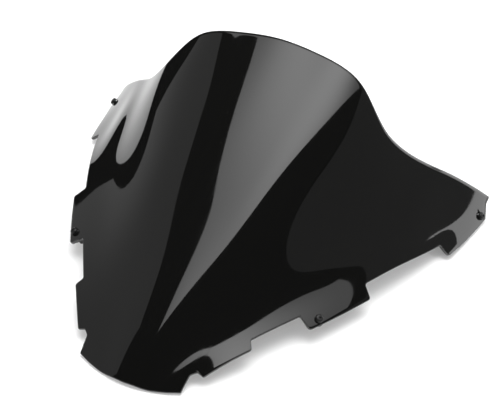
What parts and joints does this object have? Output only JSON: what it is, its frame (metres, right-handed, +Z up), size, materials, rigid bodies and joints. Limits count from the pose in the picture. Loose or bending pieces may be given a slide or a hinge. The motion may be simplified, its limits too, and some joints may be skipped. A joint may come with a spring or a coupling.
{
  "type": "motorcycle windshield screen",
  "caption": "Dark smoked wedge-shaped motorcycle windshield screen with a bubble rear, side tabs, swept rear lobes and its mounting hardware.",
  "frame": {"origin": "bottom centre of the box around the part, on the plane it rests on", "axes": "+Z up; -Y towards the nose of the motorcycle and +Y towards the rider; +X to the rider's left"},
  "size_m": [0.4356, 0.3668, 0.1741],
  "materials": {
    "acrylic": "gloss",
    "black_metal": "satin",
    "nylon": "satin",
    "rubber": "matte",
    "brass": "satin",
    "steel": "satin"
  },
  "bodies": {
    "sheet": {"screen": "acrylic", "front_well_nut_left": "rubber", "front_well_nut_right": "rubber", "front_insert_left": "brass", "front_insert_right": "brass", "rear_rubber_washer_left": "rubber", "rear_rubber_washer_right": "rubber", "rear_nut_left": "steel", "rear_nut_right": "steel"},
    "front_left_washer": {"front_washer_left": "nylon"},
    "front_left_screw": {"front_screw_left": "black_metal"},
    "front_right_washer": {"front_washer_right": "nylon"},
    "front_right_screw": {"front_screw_right": "black_metal"},
    "rear_left_washer": {"rear_washer_left": "nylon"},
    "rear_left_screw": {"rear_screw_left": "black_metal"},
    "rear_right_washer": {"rear_washer_right": "nylon"},
    "rear_right_screw": {"rear_screw_right": "black_metal"}
  },
  "joints": [
    {"name": "front_left_lift", "type": "slide", "parent": "sheet", "child": "front_left_washer", "axis": [0.4328, -0.2491, 0.8664], "range_m": [0, 0.0049]},
    {"name": "front_left_turn", "type": "hinge", "parent": "front_left_washer", "child": "front_left_screw", "pos_m": [0.1297, -0.05288, 0.0215], "axis": [0.4328, -0.2491, 0.8664], "range_deg": [0, 2521]},
    {"name": "front_right_lift", "type": "slide", "parent": "sheet", "child": "front_right_washer", "axis": [-0.4328, -0.2491, 0.8664], "range_m": [0, 0.0049]},
    {"name": "front_right_turn", "type": "hinge", "parent": "front_right_washer", "child": "front_right_screw", "pos_m": [-0.1297, -0.05288, 0.0215], "axis": [-0.4328, -0.2491, 0.8664], "range_deg": [0, 2521]},
    {"name": "rear_left_lift", "type": "slide", "parent": "sheet", "child": "rear_left_washer", "axis": [0.767, -0.1515, 0.6235], "range_m": [0, 0.0035]},
    {"name": "rear_left_turn", "type": "hinge", "parent": "rear_left_washer", "child": "rear_left_screw", "pos_m": [0.2132, 0.15802, 0.00885], "axis": [0.767, -0.1515, 0.6235], "range_deg": [0, 1801]},
    {"name": "rear_right_lift", "type": "slide", "parent": "sheet", "child": "rear_right_washer", "axis": [-0.767, -0.1515, 0.6235], "range_m": [0, 0.0035]},
    {"name": "rear_right_turn", "type": "hinge", "parent": "rear_right_washer", "child": "rear_right_screw", "pos_m": [-0.2132, 0.15802, 0.00885], "axis": [-0.767, -0.1515, 0.6235], "range_deg": [0, 1801]}
  ],
  "couplings": [
    {"joint": "front_left_turn", "follows": "front_left_lift", "rad_per_m": 8976},
    {"joint": "front_right_turn", "follows": "front_right_lift", "rad_per_m": 8976},
    {"joint": "rear_left_turn", "follows": "rear_left_lift", "rad_per_m": 8976},
    {"joint": "rear_right_turn", "follows": "rear_right_lift", "rad_per_m": 8976}
  ]
}
